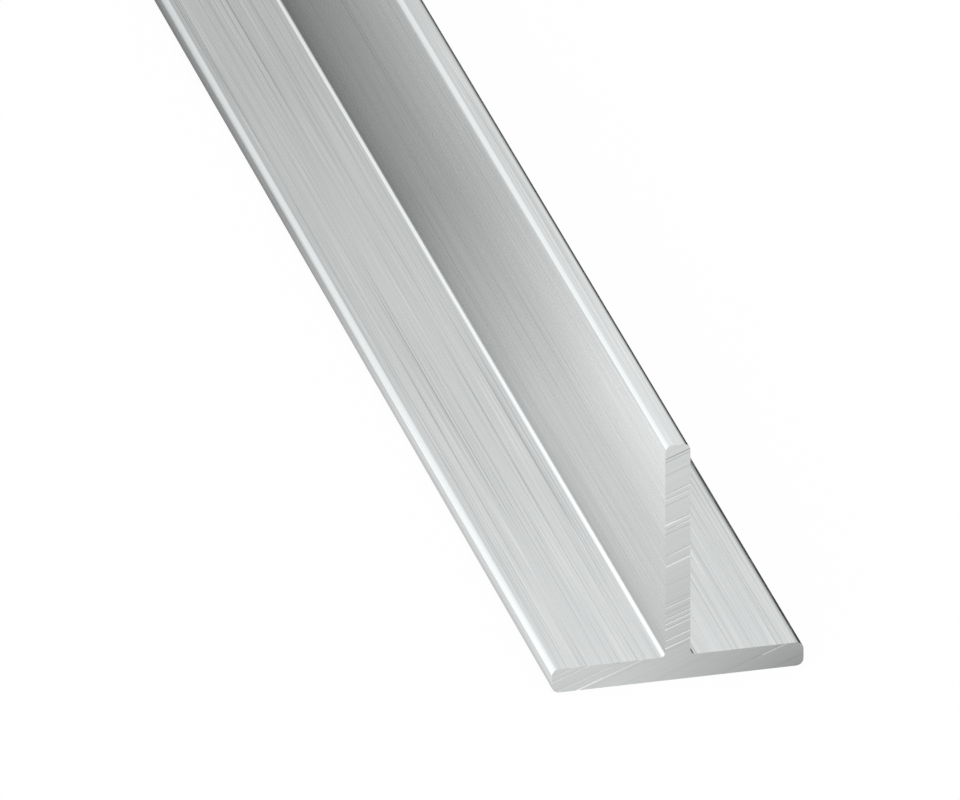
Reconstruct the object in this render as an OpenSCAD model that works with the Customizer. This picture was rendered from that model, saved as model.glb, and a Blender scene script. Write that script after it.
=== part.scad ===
// Extruded aluminium T-profile: one piece of stock, a flat flange with an upright web along its middle.
// It lies on its flange. X runs across the flange, Y along the bar and Z up the web.
// The origin is at the middle of the flange's underside, halfway along the bar.

/* [Section] */
// Width of the flange
flange_width = 20; // [10:0.5:60]
// Thickness of the flange
flange_thickness = 2; // [1:0.1:5]
// Height of the whole section, from the flange's underside to the top of the web
section_height = 20; // [10:0.5:60]
// Thickness of the web
web_thickness = 2; // [1:0.1:5]

/* [Edges] */
// Radius of the rounded outer edges of the flange and the web
edge_radius = 0.6; // [0.1:0.05:2]
// Radius of the fillets where the web grows out of the flange
root_radius = 0.4; // [0.1:0.05:2]

/* [Stock] */
// Length of the bar between its two sawn ends
bar_length = 1000; // [50:10:6000]

/* [Hidden] */
$fn = 64;

// A rounded edge takes up less than half of the wall that it ends.
edge_share = 0.48;
flange_edge = min(edge_radius, edge_share * flange_thickness);
web_edge = min(edge_radius, edge_share * web_thickness);

// A root fillet ends where the flange's ledge begins to round off.
ledge_width = (flange_width - web_thickness) / 2 - flange_edge;
root_fillet_radius = min(root_radius, ledge_width);

// The web is rooted at the middle of the flange's thickness, so the two plates share metal.
web_root = flange_thickness / 2;

// A plate with round edges, standing on the X axis and centred across it.
module rounded_plate(width, height, radius) {
    translate([radius - width / 2, 0]) square([width - 2 * radius, height]);
    translate([-width / 2, radius]) square([width, height - 2 * radius]);
    for (side = [-1, 1], level = [radius, height - radius])
        translate([side * (width / 2 - radius), level]) circle(r = radius);
}

// The hollow fillet in the corner on the web's right-hand side.
module root_fillet() {
    translate([web_thickness / 2, flange_thickness])
        difference() {
            square(root_fillet_radius);
            translate([root_fillet_radius, root_fillet_radius]) circle(r = root_fillet_radius);
        }
}

// The die's opening: flange, web and the two fillets between them.
module tee_section() {
    rounded_plate(flange_width, flange_thickness, flange_edge);
    translate([0, web_root])
        rounded_plate(web_thickness, section_height - web_root, web_edge);
    root_fillet();
    mirror([1, 0]) root_fillet();
}

// The section pushed along Y and sawn square at both ends.
module tee_bar() {
    color("gainsboro")
        translate([0, bar_length / 2, 0])
            rotate([90, 0, 0])
                linear_extrude(height = bar_length) tee_section();
}

tee_bar();
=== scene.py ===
"""A brushed aluminium T-profile: the bar, its sawn ends, its finishes and the studio that shows it."""

import logging
import math
from dataclasses import dataclass
from enum import Enum
from typing import Any

import bmesh
import bpy
import numpy as np
from bpy.types import Material, Mesh, Node, NodeSocket, NodeTree, Object
from mathutils import Matrix, Vector, noise


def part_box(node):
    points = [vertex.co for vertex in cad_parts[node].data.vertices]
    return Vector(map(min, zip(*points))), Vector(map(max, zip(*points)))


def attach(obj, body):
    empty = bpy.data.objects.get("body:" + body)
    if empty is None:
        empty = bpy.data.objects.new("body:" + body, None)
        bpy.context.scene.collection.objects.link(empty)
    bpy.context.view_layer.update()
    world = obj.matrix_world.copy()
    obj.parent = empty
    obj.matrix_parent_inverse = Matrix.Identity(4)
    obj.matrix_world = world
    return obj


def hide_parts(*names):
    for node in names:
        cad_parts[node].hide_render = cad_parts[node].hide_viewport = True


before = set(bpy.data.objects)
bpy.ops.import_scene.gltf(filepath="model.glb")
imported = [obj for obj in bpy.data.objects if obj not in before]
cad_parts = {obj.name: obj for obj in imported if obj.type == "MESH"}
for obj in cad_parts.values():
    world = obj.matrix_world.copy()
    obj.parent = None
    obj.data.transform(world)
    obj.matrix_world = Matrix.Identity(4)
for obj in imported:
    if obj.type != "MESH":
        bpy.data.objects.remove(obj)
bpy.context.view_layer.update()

# What feeds an input, the sockets on one side of a node, a span's two ends, and levels at places on a line.
Source = Node | NodeSocket
Sockets = bpy.types.bpy_prop_collection
Span = tuple[float, float]
Stops = tuple[tuple[float, float], ...]

LOG = logging.getLogger("tee_bar")
MM = 0.001
BODY = "root"
CAD_NODE = "tee_bar"
IMAGE_WIDTH_PX = 960
IMAGE_HEIGHT_PX = 800
WHITE = "#ffffff"
QUARTER_TURN = math.radians(90)
Y_AXIS = Vector((0.0, 1.0, 0.0))
Z_AXIS = Vector((0.0, 0.0, 1.0))

# A rectangle's corners in order round it, by which end of each of its two spans they take.
CORNERS = ((0, 0), (1, 0), (1, 1), (0, 1))

# A Mix node set to colours has its share and its two colours at these inputs and its blend at this output.
MIX_COLOURS = {"data_type": "RGBA"}
MIX_SHARE = 0
MIX_UNDER = 6
MIX_OVER = 7
MIX_RESULT = 2

# The saw ran across the bar at this slope, rising to the right on the front end.
SAW_ANGLE = math.radians(21)
SAW_ALONG = Vector((math.cos(SAW_ANGLE), 0.0, math.sin(SAW_ANGLE)))
SAW_ACROSS = Vector((-math.sin(SAW_ANGLE), 0.0, math.cos(SAW_ANGLE)))


def linear(code: str) -> tuple[float, float, float, float]:
    """Turn an sRGB hex colour into a linear one.

    Args:
        code: Six hex digits after a hash sign.

    Returns:
        Linear red, green and blue, and an alpha of 1.
    """
    values = [int(code[at:at + 2], 16) / 255 for at in (1, 3, 5)]
    red, green, blue = [v / 12.92 if v <= 0.04045 else ((v + 0.055) / 1.055) ** 2.4 for v in values]
    return red, green, blue, 1.0


def add_node(
    tree: NodeTree,
    kind: str,
    settings: dict[str, Any] | None = None,
    inputs: dict[str | int, Any] | None = None,
) -> Node:
    """Add a node, set its properties and fill its inputs.

    Args:
        tree: The node tree that gets the node.
        kind: Blender's identifier of the kind of node.
        settings: Values of the node's properties, by name.
        inputs: Values, output sockets, nodes, which stand for their first output, or lists of these, by
            the name or number of the input.

    Returns:
        The new node.
    """
    node = tree.nodes.new(kind)
    for name, value in (settings or {}).items():
        setattr(node, name, value)
    for key, value in (inputs or {}).items():
        for source in value if isinstance(value, list) else [value]:
            if isinstance(source, Source):
                socket = source.outputs[0] if isinstance(source, Node) else source
                tree.links.new(socket, node.inputs[key])
            else:
                node.inputs[key].default_value = source
    return node


def new_material(name: str) -> tuple[Material, NodeTree]:
    """Start an empty node material.

    Args:
        name: The material's name.

    Returns:
        The material and its tree.
    """
    material = bpy.data.materials.new(name)
    material.use_nodes = True
    material.node_tree.nodes.clear()
    return material, material.node_tree


def add_object(name: str, mesh: Mesh) -> Object:
    """Put a mesh into the scene.

    Args:
        name: The object's name.
        mesh: Its mesh, in the row frame.

    Returns:
        The object, at the origin.
    """
    thing = bpy.data.objects.new(name, mesh)
    bpy.context.scene.collection.objects.link(thing)
    return thing


def new_mesh(name: str, points: list[Any], faces: list[tuple[int, ...]], *materials: Material) -> Mesh:
    """Make a mesh.

    Args:
        name: The mesh's name.
        points: Its points, in the row frame.
        faces: Its faces, by the numbers of their points.
        materials: Its materials, in the order of their numbers.

    Returns:
        The mesh, with the first material on all its faces.
    """
    mesh = bpy.data.meshes.new(name)
    mesh.from_pydata(points, [], faces)
    for material in materials:
        mesh.materials.append(material)
    return mesh


def sheets(name: str, points: list[Any], *materials: Material) -> Mesh:
    """Make a mesh of separate flat sheets with four corners each.

    Args:
        name: The mesh's name.
        points: The corners, sheet by sheet.
        materials: Its materials, in the order of their numbers.

    Returns:
        The mesh, with one face for each sheet.
    """
    count = len(CORNERS)
    faces = [tuple(range(at, at + count)) for at in range(0, len(points), count)]
    return new_mesh(name, points, faces, *materials)


def level_sheet(name: str, sides: Span, ends: Span, height: float, material: Material) -> Mesh:
    """Make a level rectangle that faces up.

    Args:
        name: The mesh's name.
        sides: Its left and right edges.
        ends: Its front and back edges.
        height: Its height.
        material: Its material.

    Returns:
        The mesh.
    """
    return sheets(name, [(sides[i], ends[k], height) for i, k in CORNERS], material)


class BarEnd(Enum):
    """The two sawn ends of the bar, by the direction along Y in which each one faces."""

    FRONT = -1
    BACK = 1


class Across(Enum):
    """The way in which a lit card's brightness changes across the bar."""

    ANGLE = "angle round the bar"
    SIDEWAYS = "distance to the side"


@dataclass(frozen=True)
class Streaks:
    """Fine marks drawn out along Y, as a pattern that goes from 0, bare, to 1, marked."""

    width: float
    run: float
    start: float
    full: float
    detail: float = 2.0
    strength: float = 1.0

    def add_to(self, tree: NodeTree, place: Source) -> Node:
        """Add the pattern's nodes to a material.

        Args:
            tree: The material's tree.
            place: What gives the place on the piece, with Y along the marks.

        Returns:
            The node that gives the pattern.
        """
        size = (self.width, self.run, self.width)
        drawn_out = add_node(tree, "ShaderNodeVectorMath", {"operation": "DIVIDE"}, {0: place, 1: size})
        field = add_node(
            tree, "ShaderNodeTexNoise", inputs={"Vector": drawn_out, "Scale": 1.0, "Detail": self.detail}
        )
        limits = {"From Min": self.start, "From Max": self.full, "To Max": self.strength}
        return add_node(tree, "ShaderNodeMapRange", inputs={"Value": field, **limits})


@dataclass(frozen=True)
class BrushedFinish:
    """Mill aluminium brushed along the bar: a cool satin grey with long fine lines and a stretched gloss.

    The real lines are a few hundredths of a millimetre wide. They are drawn about a tenth wide, so that
    they show in the picture. The brush does not bear on the rounded edges and the root fillets, which keep
    the die's smoother, polished face. The fillets are painted the paler of the two: a painted highlight.
    Some fine lines are painted paler as well, as glinting lines: a painted highlight too.
    """

    name: str = "aluminium_brushed"
    pale: str = "#eef0f0"
    grey: str = "#dadddd"
    scratch: str = "#b2b5b5"
    # Pale lines painted into the colour: a painted highlight.
    painted_glint: str = "#f8fafa"
    # The polished edges' even tint, and the root fillets' paler tint, which is a painted highlight.
    edge_polish: str = "#e3e7e8"
    root_painted_highlight: str = "#f3f6f7"
    roughness_low: float = 0.26
    roughness_high: float = 0.30
    polish_roughness: float = 0.20
    anisotropy: float = 0.6
    line_depth: float = 0.003 * MM
    upright_share: float = 0.6
    edge_start: float = 0.15
    edge_full: float = 0.30
    root_middle: tuple[float, float, float] = (0.0, 0.0, 2.0 * MM)
    root_inner: float = 3.0 * MM
    root_outer: float = 8.0 * MM
    grain: Streaks = Streaks(0.11 * MM, 26 * MM, 0.30, 0.70)
    bands: Streaks = Streaks(1.3 * MM, 110 * MM, 0.35, 0.65, strength=0.4)
    scratches: Streaks = Streaks(0.06 * MM, 70 * MM, 0.63, 0.71, detail=0.5)
    # Where the pale painted highlight lines lie.
    painted_glints: Streaks = Streaks(0.10 * MM, 26 * MM, 0.62, 0.74, detail=1.0)

    def add_rounding(self, tree: NodeTree, facing: Sockets) -> Node:
        """Add the nodes that pick out the rounded edges and fillets.

        They face partly aside and partly up or down.

        Args:
            tree: The material's tree.
            facing: The sockets that give the parts of the surface's direction.

        Returns:
            The node that gives 1 on them and 0 on the flat faces.
        """
        slant = add_node(
            tree, "ShaderNodeMath", {"operation": "MULTIPLY"}, {0: facing["X"], 1: facing["Z"]}
        )
        size = add_node(tree, "ShaderNodeMath", {"operation": "ABSOLUTE"}, {0: slant})
        limits = {"From Min": self.edge_start, "From Max": self.edge_full}
        return add_node(tree, "ShaderNodeMapRange", inputs={"Value": size, **limits})

    def add_closeness(self, tree: NodeTree, place: Source) -> Node:
        """Add the nodes that tell the root of the web from the outer edges.

        Args:
            tree: The material's tree.
            place: What gives the place on the bar.

        Returns:
            The node that gives 1 at the root and 0 at the outer edges.
        """
        # This share turns the polished edges' tint into the painted highlight of the root fillets.
        section = add_node(
            tree, "ShaderNodeVectorMath", {"operation": "MULTIPLY"}, {0: place, 1: (1.0, 0.0, 1.0)}
        )
        distance = add_node(
            tree, "ShaderNodeVectorMath", {"operation": "DISTANCE"}, {0: section, 1: self.root_middle}
        )
        limits = {"From Min": self.root_outer, "From Max": self.root_inner}
        return add_node(tree, "ShaderNodeMapRange", inputs={"Value": distance.outputs["Value"], **limits})

    def add_colour(
        self, tree: NodeTree, place: Source, facing: Sockets, grain: Source, rounding: Source
    ) -> NodeSocket:
        """Add the nodes that lay the colours over each other: grain, bands, scratches, the painted glinting
        lines, and the polished edges' tint with a painted highlight on the root fillets.

        Args:
            tree: The material's tree.
            place: What gives the place on the bar.
            facing: The sockets that give the parts of the surface's direction.
            grain: What gives the fine lines.
            rounding: What gives the rounded edges and fillets.

        Returns:
            The socket that gives the metal's colour.
        """
        layers = [(grain, linear(self.grey)), (self.bands.add_to(tree, place), linear(self.grey))]
        # The brush bore harder on the level faces than on the upright ones.
        level = add_node(tree, "ShaderNodeMath", {"operation": "ABSOLUTE"}, {0: facing["Z"]})
        force = add_node(
            tree, "ShaderNodeMapRange", inputs={"Value": level, "To Min": self.upright_share, "To Max": 1.0}
        )
        # The scratches are dark marks; the pale lines after them are painted highlights.
        for streaks, tint in ((self.scratches, self.scratch), (self.painted_glints, self.painted_glint)):
            marks = streaks.add_to(tree, place)
            pressed = add_node(tree, "ShaderNodeMath", {"operation": "MULTIPLY"}, {0: marks, 1: force})
            layers.append((pressed, linear(tint)))
        # The rounded parts take an even tint, paler on the root fillets as a painted highlight.
        closeness = self.add_closeness(tree, place)
        edge_tint_and_root_highlight_colours = {MIX_UNDER: linear(self.edge_polish), MIX_OVER: linear(self.root_painted_highlight)}
        edge_tint_and_root_highlight = add_node(tree, "ShaderNodeMix", MIX_COLOURS, {MIX_SHARE: closeness, **edge_tint_and_root_highlight_colours})
        layers.append((rounding, edge_tint_and_root_highlight.outputs[MIX_RESULT]))
        colour = linear(self.pale)
        for share, over in layers:
            inputs = {MIX_SHARE: share, MIX_UNDER: colour, MIX_OVER: over}
            colour = add_node(tree, "ShaderNodeMix", MIX_COLOURS, inputs).outputs[MIX_RESULT]
        return colour

    def build(self) -> Material:
        """Make the material.

        Returns:
            The finish of the faces along the bar.
        """
        material, tree = new_material(self.name)
        place = add_node(tree, "ShaderNodeTexCoord").outputs["Object"]
        normal = add_node(tree, "ShaderNodeNewGeometry").outputs["Normal"]
        facing = add_node(tree, "ShaderNodeSeparateXYZ", inputs={"Vector": normal}).outputs
        grain = self.grain.add_to(tree, place)
        rounding = self.add_rounding(tree, facing)
        satin = add_node(
            tree,
            "ShaderNodeMapRange",
            inputs={"Value": grain, "To Min": self.roughness_low, "To Max": self.roughness_high},
        )
        gloss = add_node(
            tree,
            "ShaderNodeMapRange",
            inputs={"Value": rounding, "To Min": satin, "To Max": self.polish_roughness},
        )
        scored = add_node(
            tree, "ShaderNodeBump", inputs={"Strength": 1.0, "Distance": self.line_depth, "Height": grain}
        )
        # The gloss is stretched across the lines, so its tangent runs round the bar.
        around = add_node(
            tree, "ShaderNodeVectorMath", {"operation": "CROSS_PRODUCT"}, {0: normal, 1: Y_AXIS}
        )
        shader = add_node(
            tree,
            "ShaderNodeBsdfPrincipled",
            inputs={
                "Base Color": self.add_colour(tree, place, facing, grain, rounding),
                "Metallic": 1.0,
                "Roughness": gloss,
                "Normal": scored,
                "Anisotropic": self.anisotropy,
                "Tangent": around,
            },
        )
        add_node(tree, "ShaderNodeOutputMaterial", inputs={"Surface": shader})
        return material


@dataclass(frozen=True)
class SawnFinish:
    """Aluminium as the saw leaves it: duller and greyer than the brushed faces, with faint lines."""

    name: str = "aluminium_sawn"
    pale: str = "#d9dcdb"
    grey: str = "#d3d6d5"
    roughness_low: float = 0.40
    roughness_high: float = 0.46
    tooth_lines: Streaks = Streaks(0.20 * MM, 12 * MM, 0.30, 0.70)
    drift: Streaks = Streaks(2.2 * MM, 14 * MM, 0.35, 0.65, strength=0.5)

    def build(self) -> Material:
        """Make the material.

        Returns:
            The finish of the two ends.
        """
        material, tree = new_material(self.name)
        place = add_node(tree, "ShaderNodeTexCoord").outputs["Object"]
        # Turned so that Y runs along the saw's lines.
        turn = Matrix((SAW_ACROSS, SAW_ALONG, Y_AXIS)).to_euler()
        turned = add_node(tree, "ShaderNodeMapping", inputs={"Vector": place, "Rotation": turn})
        lines = self.tooth_lines.add_to(tree, turned)
        colour = linear(self.pale)
        for share in (lines, self.drift.add_to(tree, turned)):
            inputs = {MIX_SHARE: share, MIX_UNDER: colour, MIX_OVER: linear(self.grey)}
            colour = add_node(tree, "ShaderNodeMix", MIX_COLOURS, inputs).outputs[MIX_RESULT]
        gloss = add_node(
            tree,
            "ShaderNodeMapRange",
            inputs={"Value": lines, "To Min": self.roughness_low, "To Max": self.roughness_high},
        )
        shader = add_node(
            tree,
            "ShaderNodeBsdfPrincipled",
            inputs={"Base Color": colour, "Metallic": 1.0, "Roughness": gloss},
        )
        add_node(tree, "ShaderNodeOutputMaterial", inputs={"Surface": shader})
        return material


@dataclass(frozen=True)
class FloorFinish:
    """A matt white sweep of paper under the bar, lifted towards pure white where it is seen or mirrored."""

    name: str = "paper_white"
    base: str = "#fdfdfd"
    lift: float = 0.94

    def build(self) -> Material:
        """Make the material.

        Returns:
            Paper that keeps a share of the bar's shadow.
        """
        material, tree = new_material(self.name)
        paper = add_node(tree, "ShaderNodeBsdfDiffuse", inputs={"Color": linear(self.base)})
        white = add_node(tree, "ShaderNodeEmission", inputs={"Color": linear(WHITE)})
        rays = add_node(tree, "ShaderNodeLightPath").outputs
        shown = rays["Is Camera Ray"]
        for ray in ("Is Glossy Ray", "Is Transmission Ray"):
            shown = add_node(tree, "ShaderNodeMath", {"operation": "MAXIMUM"}, {0: shown, 1: rays[ray]})
        share = add_node(tree, "ShaderNodeMath", {"operation": "MULTIPLY"}, {0: shown, 1: self.lift})
        shader = add_node(tree, "ShaderNodeMixShader", inputs={0: share, 1: paper, 2: white})
        add_node(tree, "ShaderNodeOutputMaterial", inputs={"Surface": shader})
        material.cycles.emission_sampling = "NONE"
        return material


@dataclass(frozen=True)
class Ramp:
    """Levels at places along a line, in rising order of place, with an even change between them."""

    stops: Stops

    def add_to(self, tree: NodeTree, place: Source) -> Node:
        """Add the nodes that look up the level at a place.

        Args:
            tree: The material's tree.
            place: What gives the place along the line.

        Returns:
            The node that gives the level, as a grey.
        """
        first = self.stops[0][0]
        last = self.stops[-1][0]
        share = add_node(
            tree, "ShaderNodeMapRange", inputs={"Value": place, "From Min": first, "From Max": last}
        )
        ramp = add_node(tree, "ShaderNodeValToRGB", inputs={"Fac": share})
        elements = ramp.color_ramp.elements
        # New elements start halfway, between the two that every ramp has, and are then moved.
        while len(elements) < len(self.stops):
            elements.new(0.5)
        for element, (at, level) in zip(elements, self.stops):
            element.position = (at - first) / (last - first)
            element.color = (level, level, level, 1.0)
        return ramp


@dataclass(frozen=True)
class LitCloth:
    """White cloth lit from behind, graded across the bar and along it.

    It starts with the near levels, and each change along Y blends in the next ones.
    """

    name: str
    across: Across
    near: Ramp
    changes: tuple[tuple[Ramp, Ramp], ...] = ()

    def build(self) -> Material:
        """Make the material.

        Returns:
            The cloth's glow.
        """
        material, tree = new_material(self.name)
        place = add_node(tree, "ShaderNodeTexCoord").outputs["Object"]
        parts = add_node(tree, "ShaderNodeSeparateXYZ", inputs={"Vector": place}).outputs
        across = parts["X"]
        if self.across is Across.ANGLE:
            across = add_node(
                tree, "ShaderNodeMath", {"operation": "ARCTAN2"}, {0: parts["Z"], 1: parts["X"]}
            )
        glow = self.near.add_to(tree, across)
        for fade, levels in self.changes:
            share = fade.add_to(tree, parts["Y"])
            inputs = {MIX_SHARE: share, MIX_UNDER: glow, MIX_OVER: levels.add_to(tree, across)}
            glow = add_node(tree, "ShaderNodeMix", MIX_COLOURS, inputs).outputs[MIX_RESULT]
        shader = add_node(tree, "ShaderNodeEmission", inputs={"Color": glow})
        add_node(tree, "ShaderNodeOutputMaterial", inputs={"Surface": shader})
        material.cycles.emission_sampling = "NONE"
        return material


@dataclass
class SawCut:
    """The scored face that a saw leaves, as a block that is taken off the bar's end.

    Its sizes are in millimetres. Levels are measured across the saw's lines from the middle of the flange's
    underside. Each mark's force swings about a mean along its run, and the teeth chatter over all the face.
    """

    strong_levels: tuple[float, ...] = (2.9, 4.4, 9.4, 10.2, 12.7)
    fine_levels: tuple[float, ...] = (3.5, 4.8, 5.2, 6.1, 6.4, 12.3, 14.7, 15.1)
    faint_levels: tuple[float, ...] = (-2.7, -1.2, 0.7, 2.6, 5.6, 7.8, 11.9, 14.2, 16.6)
    torn_levels: tuple[float, ...] = (17.58, 17.83)
    strong_depth: float = 0.038
    fine_depth: float = 0.027
    faint_depth: float = 0.018
    torn_depth: float = 0.075
    wide_wall: float = 0.065
    torn_wall: float = 0.13
    steep_wall: float = 0.025
    lowest: float = -4.5
    highest: float = 19.8
    leftmost: float = -10.2
    rightmost: float = 10.8
    step_across: float = 0.1
    step_along: float = 0.3
    row_digits: int = 4
    mark_run: float = 5.0
    mark_spread: float = 10.0
    mean_force: float = 0.75
    force_swing: float = 0.9
    chatter: float = 0.0025
    chatter_pitch: float = 0.12
    thickness: float = 4.0

    def marks(self) -> list[tuple[float, float, float, float]]:
        """List the saw marks.

        A mark with its wide wall below catches the light from above, and a torn one is turned away from it.

        Returns:
            The bottom edge, the deepest level, the top edge and the depth of each mark.
        """
        lit = (
            (self.strong_levels, self.strong_depth),
            (self.fine_levels, self.fine_depth),
            (self.faint_levels, self.faint_depth),
        )
        found = [
            (level - self.wide_wall, level, level + self.steep_wall, depth)
            for levels, depth in lit
            for level in levels
        ]
        found += [
            (level - self.steep_wall, level, level + self.torn_wall, self.torn_depth)
            for level in self.torn_levels
        ]
        return found

    def rows(self) -> np.ndarray:
        """Give the levels of the block's rows: an even spread, and the edges and bottom of each mark.

        Returns:
            Levels in rising order.
        """
        edges = np.array([level for *levels, _ in self.marks() for level in levels])
        spread = np.arange(self.lowest, self.highest, self.step_across)
        clear = np.abs(spread[:, None] - edges[None, :]).min(axis=1) > self.steep_wall / 2
        rows = np.concatenate([spread[clear], edges, [self.highest]])
        return np.unique(np.round(rows, self.row_digits))

    def depths(self, levels: np.ndarray, places: np.ndarray, end: BarEnd) -> np.ndarray:
        """Work out how deep the saw went at each point of the block.

        Args:
            levels: The rows' levels across the lines.
            places: The columns' places along the lines.
            end: The end that is sawn, which sets where the marks fade.

        Returns:
            Depths by row and column.
        """
        runs = places / self.mark_run
        deep = np.zeros((len(levels), len(places)))
        for bottom, level, top, depth in self.marks():
            shape = np.interp(levels, (bottom, level, top), (0.0, depth, 0.0))
            fade = [noise.noise((run, self.mark_spread * level, end.value)) for run in runs]
            force = np.clip(self.mean_force + self.force_swing * np.array(fade), 0.0, 1.0)
            deep = np.maximum(deep, shape[:, None] * force[None, :])
        rough = [
            [noise.noise((level / self.chatter_pitch, run, end.value)) for run in runs] for level in levels
        ]
        return deep + self.chatter * (1.0 + np.array(rough))

    def build(self, end: BarEnd, face: float, sawn: Material) -> Object:
        """Make the block for one end.

        Args:
            end: The end that is sawn.
            face: The place along Y of the finished face, in the row frame.
            sawn: The finish that the block leaves behind.

        Returns:
            The block, as a closed solid just outside the bar.
        """
        levels = self.rows()
        places = np.arange(self.leftmost, self.rightmost + self.step_along, self.step_along)
        deep = self.depths(levels, places, end)
        rows = range(len(levels))
        columns = range(len(places))
        count = len(columns)

        def point(row: int, column: int, depth: float) -> Vector:
            """Place one point of the block in the row frame."""
            flat = SAW_ALONG * places[column] + SAW_ACROSS * levels[row]
            return flat * MM + Y_AXIS * (face - end.value * depth * MM)

        points = [point(r, c, deep[r, c]) for r in rows for c in columns]
        faces = [
            (r * count + c, r * count + c + 1, (r + 1) * count + c + 1, (r + 1) * count + c)
            for r in rows[:-1]
            for c in columns[:-1]
        ]
        corners = ((0, 0), (0, columns[-1]), (rows[-1], columns[-1]), (rows[-1], 0))
        outer = [len(points) + at for at in range(len(corners))]
        points += [point(r, c, -self.thickness) for r, c in corners]
        faces.append(tuple(outer))
        rims = (
            list(columns),
            [r * count + columns[-1] for r in rows],
            [rows[-1] * count + c for c in reversed(columns)],
            [r * count for r in reversed(rows)],
        )
        for start, stop, rim in zip(outer, outer[1:] + outer[:1], rims):
            faces.append((start, *rim, stop))
        mesh = new_mesh("saw_block", points, faces, sawn)
        shell = bmesh.new()
        shell.from_mesh(mesh)
        bmesh.ops.recalc_face_normals(shell, faces=shell.faces)
        shell.to_mesh(mesh)
        shell.free()
        return add_object(f"saw_block_{end.name.lower()}", mesh)


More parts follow.
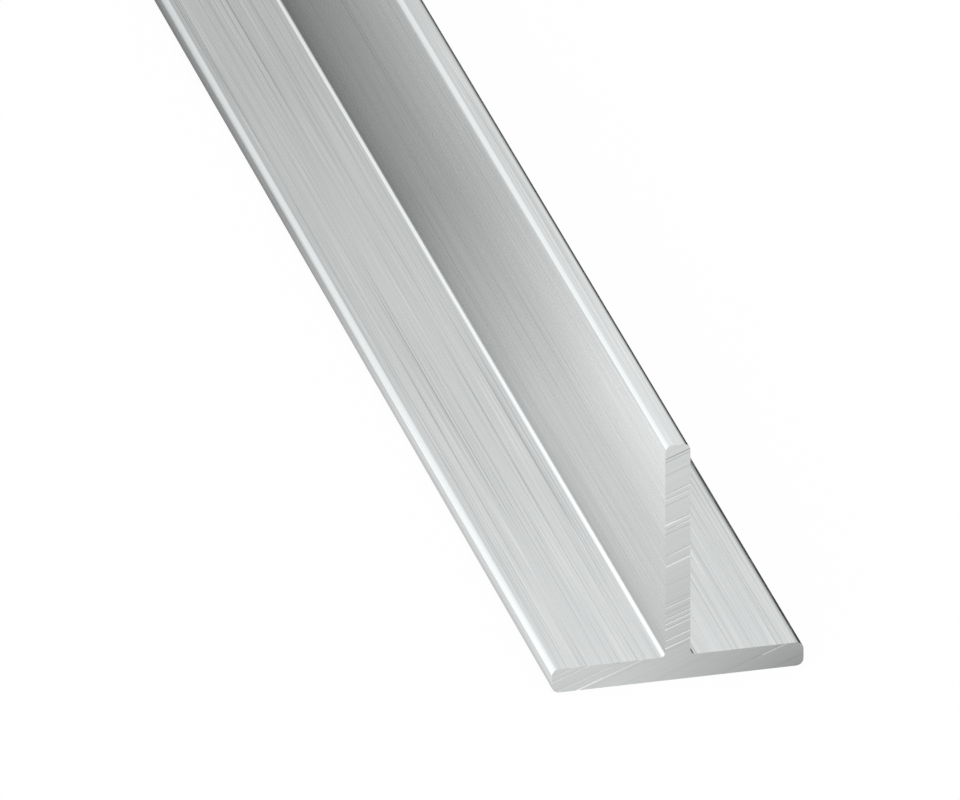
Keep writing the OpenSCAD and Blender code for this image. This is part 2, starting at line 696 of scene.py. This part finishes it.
@dataclass
class TeeBar:
    """The bar: a rounded T section pushed along Y and sawn off at both ends."""

    low: Vector
    high: Vector
    flange_thickness: float = 2.0 * MM
    web_thickness: float = 2.0 * MM
    edge_radius: float = 0.6 * MM
    root_radius: float = 0.4 * MM
    arc_steps: int = 24
    section_step: float = 0.05 * MM
    die_line_pitch: float = 0.35 * MM
    die_line_depth: float = 0.012 * MM
    die_line_detail: float = 2.0
    overlength: float = 1.0 * MM
    weld: float = 0.0001 * MM
    cut_edge_angle: float = math.radians(50)
    seed: float = 7.0

    @property
    def length(self) -> float:
        """Length between the sawn ends."""
        return self.high.y - self.low.y

    def outline(self) -> Mesh:
        """Draw the sharp T outline in the XY plane, with the radius of each corner as an attribute.

        Returns:
            A mesh of points and edges, with the section's height along Y.
        """
        half_flange = (self.high.x - self.low.x) / 2
        half_web = self.web_thickness / 2
        right = [
            (half_flange, 0.0, self.edge_radius),
            (half_flange, self.flange_thickness, self.edge_radius),
            (half_web, self.flange_thickness, self.root_radius),
            (half_web, self.high.z, self.edge_radius),
        ]
        left = [(-x, z, radius) for x, z, radius in reversed(right)]
        corners = right + left
        count = len(corners)
        mesh = bpy.data.meshes.new("tee_outline")
        edges = [(at, (at + 1) % count) for at in range(count)]
        mesh.from_pydata([(x, z, 0.0) for x, z, _ in corners], edges, [])
        radii = mesh.attributes.new("corner_radius", "FLOAT", "POINT")
        radii.data.foreach_set("value", [radius for _, _, radius in corners])
        return mesh

    @staticmethod
    def saw_input(end: BarEnd) -> str:
        """Name the tree's input for the saw block of an end."""
        return f"{end.name.title()} Saw Block"

    def tree(self, brushed: Material, sawn: Material) -> NodeTree:
        """Build the Geometry Nodes tree that turns the outline into the bar.

        Args:
            brushed: The finish of the faces along the bar.
            sawn: The finish of the two ends.

        Returns:
            The tree, with its sizes and saw blocks as named inputs.
        """
        tree = bpy.data.node_groups.new("tee_bar_extrusion", "GeometryNodeTree")
        tree.interface.new_socket("Bar", in_out="OUTPUT", socket_type="NodeSocketGeometry")
        tree.interface.new_socket("Outline", in_out="INPUT", socket_type="NodeSocketGeometry")
        for name in ("Length", "Section Step", "Die Line Pitch", "Die Line Depth", "Seed"):
            tree.interface.new_socket(name, in_out="INPUT", socket_type="NodeSocketFloat")
        tree.interface.new_socket("Arc Steps", in_out="INPUT", socket_type="NodeSocketInt")
        for end in BarEnd:
            name = self.saw_input(end)
            tree.interface.new_socket(name, in_out="INPUT", socket_type="NodeSocketObject")
        given = add_node(tree, "NodeGroupInput").outputs

        section = self.add_section(tree, given)
        bar = self.add_sweep(tree, given, section, brushed)
        blocks = [
            add_node(tree, "GeometryNodeObjectInfo", inputs={"Object": given[self.saw_input(end)]})
            for end in BarEnd
        ]
        cut = add_node(
            tree,
            "GeometryNodeMeshBoolean",
            {"operation": "DIFFERENCE", "solver": "MANIFOLD"},
            {"Mesh 1": bar, "Mesh 2": [block.outputs["Geometry"] for block in blocks]},
        )
        self.add_dressing(tree, cut, brushed, sawn)
        return tree

    def add_section(self, tree: NodeTree, given: Sockets) -> Node:
        """Add the nodes that round the outline's corners and score it with fine die lines.

        Args:
            tree: The bar's tree.
            given: The outputs of the tree's group input.

        Returns:
            The node that gives the filled section.
        """
        curve = add_node(tree, "GeometryNodeMeshToCurve", inputs={"Mesh": given["Outline"]})
        radius = add_node(
            tree, "GeometryNodeInputNamedAttribute", {"data_type": "FLOAT"}, {"Name": "corner_radius"}
        )
        rounded = add_node(
            tree,
            "GeometryNodeFilletCurve",
            {"mode": "POLY"},
            {"Curve": curve, "Count": given["Arc Steps"], "Radius": radius},
        )
        even = add_node(
            tree,
            "GeometryNodeResampleCurve",
            {"mode": "LENGTH"},
            {"Curve": rounded, "Length": given["Section Step"]},
        )
        position = add_node(tree, "GeometryNodeInputPosition")
        scaled = add_node(
            tree, "ShaderNodeVectorMath", {"operation": "DIVIDE"}, {0: position, 1: given["Die Line Pitch"]}
        )
        field = add_node(
            tree,
            "ShaderNodeTexNoise",
            {"noise_dimensions": "4D"},
            {"Vector": scaled, "W": given["Seed"], "Scale": 1.0, "Detail": self.die_line_detail},
        )
        depth = add_node(
            tree, "ShaderNodeMath", {"operation": "MULTIPLY"}, {0: field, 1: given["Die Line Depth"]}
        )
        tangent = add_node(tree, "GeometryNodeInputTangent")
        inward = add_node(
            tree, "ShaderNodeVectorMath", {"operation": "CROSS_PRODUCT"}, {0: Z_AXIS, 1: tangent}
        )
        offset = add_node(
            tree, "ShaderNodeVectorMath", {"operation": "SCALE"}, {0: inward, "Scale": depth}
        )
        scored = add_node(tree, "GeometryNodeSetPosition", inputs={"Geometry": even, "Offset": offset})
        return add_node(tree, "GeometryNodeFillCurve", {"mode": "NGONS"}, {"Curve": scored})

    def add_sweep(self, tree: NodeTree, given: Sockets, section: Source, brushed: Material) -> Node:
        """Add the nodes that push the section out into a closed bar, a little longer than it ends up.

        Args:
            tree: The bar's tree.
            given: The outputs of the tree's group input.
            section: What gives the filled section.
            brushed: The finish of the faces along the bar.

        Returns:
            The node that gives the bar lying along Y.
        """
        uncut = add_node(
            tree, "ShaderNodeMath", {"operation": "ADD"}, {0: given["Length"], 1: 2 * self.overlength}
        )
        up = add_node(tree, "ShaderNodeCombineXYZ", inputs={"Z": 1.0})
        pushed = add_node(
            tree,
            "GeometryNodeExtrudeMesh",
            {"mode": "FACES"},
            {"Mesh": section, "Offset": up, "Offset Scale": uncut, "Individual": False},
        )
        start = add_node(tree, "GeometryNodeFlipFaces", inputs={"Mesh": section})
        both = add_node(tree, "GeometryNodeJoinGeometry", inputs={"Geometry": [pushed, start]})
        closed = add_node(
            tree, "GeometryNodeMergeByDistance", inputs={"Geometry": both, "Distance": self.weld}
        )
        laid = add_node(
            tree,
            "GeometryNodeTransform",
            inputs={
                "Geometry": closed,
                "Rotation": (QUARTER_TURN, 0.0, 0.0),
                "Translation": (0.0, self.length / 2 + self.overlength, 0.0),
            },
        )
        return add_node(tree, "GeometryNodeSetMaterial", inputs={"Geometry": laid, "Material": brushed})

    def add_dressing(self, tree: NodeTree, bar: Source, brushed: Material, sawn: Material) -> None:
        """Add the nodes that shade the bar, crisp at the cut, and give its long faces their finish.

        Args:
            tree: The bar's tree.
            bar: What gives the sawn bar.
            brushed: The finish of the faces along the bar.
            sawn: The finish that the saw blocks left on the two ends.
        """
        edge = add_node(tree, "GeometryNodeInputMeshEdgeAngle")
        at_cut = add_node(
            tree,
            "FunctionNodeCompare",
            {"data_type": "FLOAT", "operation": "GREATER_THAN"},
            {0: edge, 1: self.cut_edge_angle},
        )
        at_end = add_node(tree, "GeometryNodeMaterialSelection", inputs={"Material": sawn})
        along = add_node(tree, "FunctionNodeBooleanMath", {"operation": "NOT"}, {0: at_end})
        real = add_node(tree, "GeometryNodeRealizeInstances", inputs={"Geometry": bar})
        smooth = add_node(
            tree, "GeometryNodeSetShadeSmooth", inputs={"Geometry": real, "Shade Smooth": True}
        )
        crisp = add_node(
            tree,
            "GeometryNodeSetShadeSmooth",
            {"domain": "EDGE"},
            {"Geometry": smooth, "Selection": at_cut, "Shade Smooth": False},
        )
        dressed = add_node(
            tree,
            "GeometryNodeSetMaterial",
            inputs={"Geometry": crisp, "Selection": along, "Material": brushed},
        )
        add_node(tree, "NodeGroupOutput", inputs={"Bar": dressed})

    def build(self, brushed: Material, sawn: Material) -> Object:
        """Make the bar as a plain mesh in the row frame.

        Args:
            brushed: The finish of the faces along the bar.
            sawn: The finish of the two ends.

        Returns:
            The bar's object.
        """
        saw = SawCut()
        blocks = {
            self.saw_input(end): saw.build(end, end.value * self.length / 2, sawn) for end in BarEnd
        }
        bar = add_object("tee_bar_brushed", self.outline())
        modifier = bar.modifiers.new("extrusion", "NODES")
        modifier.node_group = self.tree(brushed, sawn)
        values = {
            "Length": self.length,
            "Section Step": self.section_step,
            "Die Line Pitch": self.die_line_pitch,
            "Die Line Depth": self.die_line_depth,
            "Seed": self.seed,
            "Arc Steps": self.arc_steps,
            **blocks,
        }
        for item in modifier.node_group.interface.items_tree:
            if item.in_out == "INPUT" and item.name in values:
                modifier[item.identifier] = values[item.name]
        evaluated = bar.evaluated_get(bpy.context.evaluated_depsgraph_get())
        mesh = bpy.data.meshes.new_from_object(evaluated)
        bar.modifiers.clear()
        bar.data = mesh
        for block in blocks.values():
            bpy.data.objects.remove(block)
        # The bar is left out of its own gloss, so each of its walls shows the studio alone.
        bar.visible_glossy = False
        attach(bar, BODY)
        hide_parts(CAD_NODE)
        return bar


@dataclass
class LightTent:
    """A tunnel of lit cloth over the bar, with cards on the floor, dark fins, a curtain and a front panel.

    Only the metal's gloss sees them, and the floor is lit by the room. The curtain closes the tunnel in
    front and has a hole for the bar. The grading is strong over the front third of the bar and even
    further along.
    """

    bar: TeeBar
    radius: float = 100 * MM
    segments: int = 60
    card_lift: float = -0.010 * MM
    dark_strip: float = 20 * MM
    fin_start: float = 16 * MM
    fin_run: float = 330 * MM
    fin_pitch: float = 6 * MM
    fin_height: float = 4.5 * MM
    fin_half_thickness: float = 0.05 * MM
    fin_heading: float = math.radians(40)
    curtain_gap: float = 1.0 * MM
    apron_reach: float = 120 * MM
    panel_distance: float = 600 * MM
    panel_half_width: float = 500 * MM
    panel_bottom: float = 150 * MM
    panel_top: float = 900 * MM
    panel_level: float = 1.7

    @property
    def front(self) -> float:
        """Place of the bar's front end along Y."""
        return self.bar.low.y

    @property
    def back(self) -> float:
        """Place of the bar's back end along Y."""
        return self.bar.high.y

    @staticmethod
    def across(stops: Stops) -> Ramp:
        """Place levels by the distance to the side, in millimetres, from the bar's middle."""
        return Ramp(tuple((place * MM, level) for place, level in stops))

    @staticmethod
    def around(stops: Stops) -> Ramp:
        """Place levels by the angle round the bar, in degrees, from its right."""
        return Ramp(tuple((math.radians(angle), level) for angle, level in stops))

    def along(self, stops: Stops) -> Ramp:
        """Place levels by the distance along the bar, in millimetres, from its front end."""
        return Ramp(tuple((self.front + place * MM, level) for place, level in stops))

    def even_cloth(self) -> Ramp:
        """Give the cloth's plain levels, which dim a little towards the floor."""
        return self.around(((0, 0.75), (45, 0.95), (90, 1.0), (135, 0.95), (180, 0.75)))

    def even_levels(self) -> Ramp:
        """Give the cards' plain levels, which brighten a little away from the bar."""
        return self.across(((-100, 0.80), (-12, 0.55), (0, 0.50), (12, 0.55), (100, 0.80)))

    def arch(self, place: float) -> list[tuple[float, float, float]]:
        """Draw the tunnel's arch at a place along Y.

        Args:
            place: The place.

        Returns:
            Points from the right over the top to the left.
        """
        angles = [math.pi * at / self.segments for at in range(self.segments + 1)]
        return [(self.radius * math.cos(turn), place, self.radius * math.sin(turn)) for turn in angles]

    def tunnel(self) -> Mesh:
        """Bend the cloth over the bar: dark low on the right, bright on the left, dimmer further along.

        Returns:
            A half tube along the bar.
        """
        near = ((15, 0.0), (30, 0.5), (60, 1.02), (110, 0.97), (120, 1.2), (150, 1.25), (180, 1.6))
        far = ((15, 0.0), (60, 0.62), (97, 0.38), (125, 0.9), (165, 0.7))
        fade = ((140, 0.0), (320, 1.0))
        settle = ((330, 0.0), (500, 1.0))
        cloth = LitCloth(
            "lit_cloth",
            Across.ANGLE,
            self.around(near),
            ((self.along(fade), self.around(far)), (self.along(settle), self.even_cloth())),
        )
        points = self.arch(self.front) + self.arch(self.back)
        count = self.segments + 1
        faces = [(at, at + 1, count + at + 1, count + at) for at in range(self.segments)]
        return new_mesh("tent_tunnel", points, faces, cloth.build())

    def front_curtain(self) -> Mesh:
        """Hang the curtain that closes the tunnel in front, with a hole just clear of the bar.

        It keeps the front panel's light off the long faces when they are seen from behind.

        Returns:
            The curtain's mesh, of five rectangles.
        """
        ledge = self.bar.flange_thickness + self.curtain_gap
        inner = self.bar.web_thickness / 2 + self.curtain_gap
        outer = self.bar.high.x + self.curtain_gap
        top = self.bar.high.z + self.curtain_gap
        rectangles = (
            ((-self.radius, -outer), (0.0, ledge)),
            ((outer, self.radius), (0.0, ledge)),
            ((-self.radius, -inner), (ledge, self.radius)),
            ((inner, self.radius), (ledge, self.radius)),
            ((-inner, inner), (top, self.radius)),
        )
        points = [(sides[i], self.front, heights[k]) for sides, heights in rectangles for i, k in CORNERS]
        cloth = LitCloth("front_curtain", Across.ANGLE, self.even_cloth())
        return sheets("tent_front_curtain", points, cloth.build())

    def side_glow(self) -> Material:
        """Grade the card beside the bar.

        It is bright on the left of the front end, and dim close to the bar further along. Its dark right
        side draws the dark line along the bar's right-hand edges.

        Returns:
            The card's glow.
        """
        near = (
            (-100, 0.6), (-22, 0.95), (-14, 1.4), (-11.7, 1.2), (-10.8, 0.73), (-10.2, 0.68),
            (-9.8, 0.36), (-6.5, 0.77), (-3, 0.72), (-1.5, 0.25), (2, 0.45), (8, 0.5), (11, 0.0),
        )
        far = (
            (-100, 1.2), (-22, 0.55), (-13.5, 0.7), (-10, 0.06), (-6, 0.28), (-1.5, 0.02),
            (6, 0.5), (20, 0.65), (38, 0.0),
        )
        fade = ((0, 0.0), (50, 0.1), (90, 0.7), (165, 1.0))
        settle = ((205, 0.0), (330, 1.0))
        glow = LitCloth(
            "side_card",
            Across.SIDEWAYS,
            self.across(near),
            ((self.along(fade), self.across(far)), (self.along(settle), self.even_levels())),
        )
        return glow.build()

    def side_cards(self, graded: Material, even: Material) -> list[Mesh]:
        """Lay the graded card, under the bar and to its left, and the plain card to its right.

        Args:
            graded: The glow of the first card, which also runs along the bar's right-hand edge.
            even: The glow of the second card.

        Returns:
            The cards' meshes.
        """
        ends = (self.front, self.back)
        left = (-self.radius, self.dark_strip)
        right = (self.dark_strip, self.radius)
        return [
            level_sheet("tent_left_card", left, ends, self.card_lift, graded),
            level_sheet("tent_right_card", right, ends, self.card_lift, even),
        ]

    def fins(self, graded: Material, even: Material) -> Mesh:
        """Stand slanting fins on the right-hand card.

        What looks along the bar sees their dark fronts, and what looks across it sees their plain backs.

        Args:
            graded: The glow of the fins' fronts.
            even: The glow of their backs.

        Returns:
            One mesh of all the fins, with fronts and backs in turn.
        """
        slope = 1 / math.tan(self.fin_heading)
        reach = (self.radius - self.fin_start) * slope
        ahead = Vector((math.cos(self.fin_heading), -math.sin(self.fin_heading), 0.0))
        rise = Z_AXIS * self.fin_height
        points = []
        for at in range(int((reach + self.fin_run) / self.fin_pitch)):
            foot = self.front - reach + at * self.fin_pitch
            sides = (self.fin_start + max(0.0, self.front - foot) / slope, self.radius)
            near, far = [Vector((x, foot + (x - self.fin_start) * slope, 0.0)) for x in sides]
            for side in (1, -1):
                shift = side * self.fin_half_thickness * ahead
                points += [near + shift, far + shift, far + shift + rise, near + shift + rise]
        mesh = sheets("tent_fins", points, graded, even)
        mesh.polygons.foreach_set("material_index", [at % 2 for at in range(len(mesh.polygons))])
        return mesh

    def apron(self) -> Mesh:
        """Lay the card before the front end: dimmer to the right, and bright a little further out.

        Returns:
            The card's mesh.
        """
        near = ((-5, 0.82), (0, 0.68), (10, 0.35))
        outer = ((-5, 0.93), (10, 0.93))
        fade = ((-30, 1.0), (-10, 0.4), (0, 0.0))
        glow = LitCloth(
            "apron_card", Across.SIDEWAYS, self.across(near), ((self.along(fade), self.across(outer)),)
        )
        sides = (-self.radius, self.radius)
        ends = (self.front - self.apron_reach, self.front)
        return level_sheet("tent_apron", sides, ends, self.card_lift, glow.build())

    def front_panel(self) -> Mesh:
        """Stand the panel that lights the saw marks from in front and above.

        Returns:
            The panel's mesh.
        """
        white, tree = new_material("front_panel")
        shader = add_node(tree, "ShaderNodeEmission", inputs={"Strength": self.panel_level})
        add_node(tree, "ShaderNodeOutputMaterial", inputs={"Surface": shader})
        white.cycles.emission_sampling = "NONE"
        place = self.front - self.panel_distance
        sides = (-self.panel_half_width, self.panel_half_width)
        heights = (self.panel_bottom, self.panel_top)
        return sheets("tent_front_panel", [(sides[i], place, heights[k]) for i, k in CORNERS], white)

    def build(self) -> None:
        """Put up the tunnel, the curtain, the cards, the fins and the panel."""
        graded = self.side_glow()
        even = LitCloth("plain_card", Across.SIDEWAYS, self.even_levels()).build()
        beside = (*self.side_cards(graded, even), self.fins(graded, even))
        for mesh in (self.tunnel(), self.front_curtain(), *beside, self.apron(), self.front_panel()):
            thing = add_object(mesh.name, mesh)
            thing.visible_camera = False
            thing.visible_diffuse = False
            thing.visible_transmission = False
            thing.visible_shadow = False


@dataclass
class Studio:
    """A white floor, soft light and the camera that sees the front end from above and to the bar's left."""

    target: Vector
    floor_half: float = 60.0
    floor_gap: float = 0.02 * MM
    room_light: float = 1.02
    azimuth: float = math.radians(-14.089)
    elevation: float = math.radians(25.580)
    roll: float = math.radians(-0.155)
    focal_px: float = 28788.0
    distance: float = 2213.4 * MM
    target_px: tuple[float, float] = (677.292, 678.594)
    sensor_mm: float = 36.0
    clip_start: float = 0.1
    clip_end: float = 200.0

    def add_floor(self) -> None:
        """Lay the floor just under the bar."""
        edges = (-self.floor_half, self.floor_half)
        mesh = level_sheet("floor", edges, edges, -self.floor_gap, FloorFinish().build())
        add_object("floor", mesh)

    def add_world(self) -> None:
        """Fill the room with even light."""
        world = bpy.data.worlds.new("room")
        world.use_nodes = True
        tree = world.node_tree
        tree.nodes.clear()
        glow = add_node(
            tree, "ShaderNodeBackground", inputs={"Color": linear(WHITE), "Strength": self.room_light}
        )
        add_node(tree, "ShaderNodeOutputWorld", inputs={"Surface": glow})
        world.cycles.sampling_method = "NONE"
        bpy.context.scene.world = world

    def add_camera(self) -> None:
        """Place the camera so that the bar's front end lands on its pixel."""
        level = math.cos(self.elevation)
        back = Vector(
            (math.sin(self.azimuth) * level, -math.cos(self.azimuth) * level, math.sin(self.elevation))
        )
        right = Vector((math.cos(self.azimuth), math.sin(self.azimuth), 0.0))
        up = back.cross(right)
        turn = Matrix.Rotation(self.roll, 3, back)
        right = turn @ right
        up = turn @ up
        centre_x = (IMAGE_WIDTH_PX - 1) / 2
        centre_y = (IMAGE_HEIGHT_PX - 1) / 2
        aside = (self.target_px[0] - centre_x) / self.focal_px
        above = (centre_y - self.target_px[1]) / self.focal_px
        lens = bpy.data.cameras.new("camera")
        lens.sensor_width = self.sensor_mm
        lens.lens = self.focal_px * self.sensor_mm / IMAGE_WIDTH_PX
        lens.clip_start = self.clip_start
        lens.clip_end = self.clip_end
        camera = bpy.data.objects.new("camera", lens)
        place = self.target + self.distance * (back - right * aside - up * above)
        camera.matrix_world = Matrix.Translation(place) @ Matrix((right, up, back)).transposed().to_4x4()
        bpy.context.scene.collection.objects.link(camera)
        bpy.context.scene.camera = camera

    def build(self) -> None:
        """Set up the floor, the light and the camera."""
        self.add_floor()
        self.add_world()
        self.add_camera()
        bpy.context.scene.view_settings.view_transform = "Standard"


def main() -> None:
    """Build the bar, its light and its studio."""
    logging.basicConfig(level=logging.INFO, format="%(name)s: %(message)s")
    low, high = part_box(CAD_NODE)
    shape = TeeBar(low, high)
    bar = shape.build(BrushedFinish().build(), SawnFinish().build())
    LOG.info("%s has %d faces", bar.name, len(bar.data.polygons))
    LightTent(shape).build()
    LOG.info("light tent is up")
    Studio(Vector((0.0, low.y, low.z))).build()
    LOG.info("floor, room light and camera are set")


if __name__ == "__main__":
    main()
